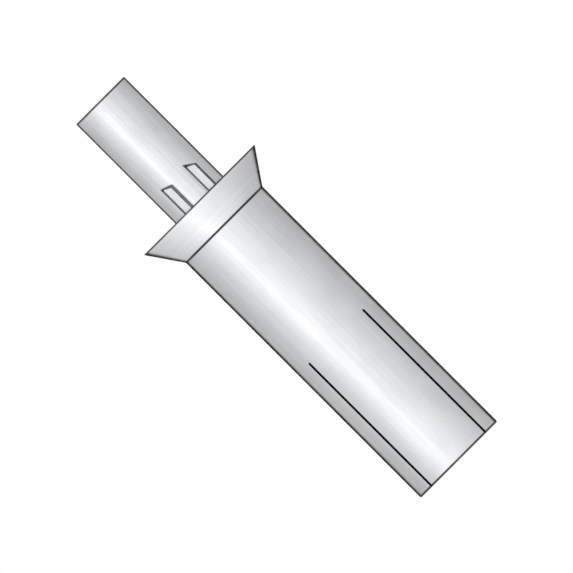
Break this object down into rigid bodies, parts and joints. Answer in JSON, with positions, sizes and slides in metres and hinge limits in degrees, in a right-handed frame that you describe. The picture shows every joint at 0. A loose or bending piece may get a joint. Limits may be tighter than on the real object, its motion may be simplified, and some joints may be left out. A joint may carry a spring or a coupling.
{
  "type": "drive pin rivet",
  "caption": "Countersunk drive pin rivet: a hollow shank with a flat conical head and slit prongs, and a grooved steel pin that a hammer drives flush to spread them.",
  "frame": {"origin": "centre of the flat blind end of the body, which the rivet stands on", "axes": "+Z along the rivet's axis, from the blind end to the head and the struck end of the pin. The pin's grooves face -Y and +Y, but for 3.5 degrees that the pin is turned in its bore. The slits lie on the diagonals between X and Y."},
  "size_m": [0.0092, 0.0092, 0.0299],
  "materials": {
    "body_aluminium": "bright cold-headed aluminium with a fine drawn grain, not plated or painted",
    "pin_stainless": "bright drawn stainless steel wire with a cut and tumbled end"
  },
  "bodies": {
    "root": {"rivet_body": "body_aluminium", "drive_pin": "pin_stainless"}
  },
  "joints": []
}
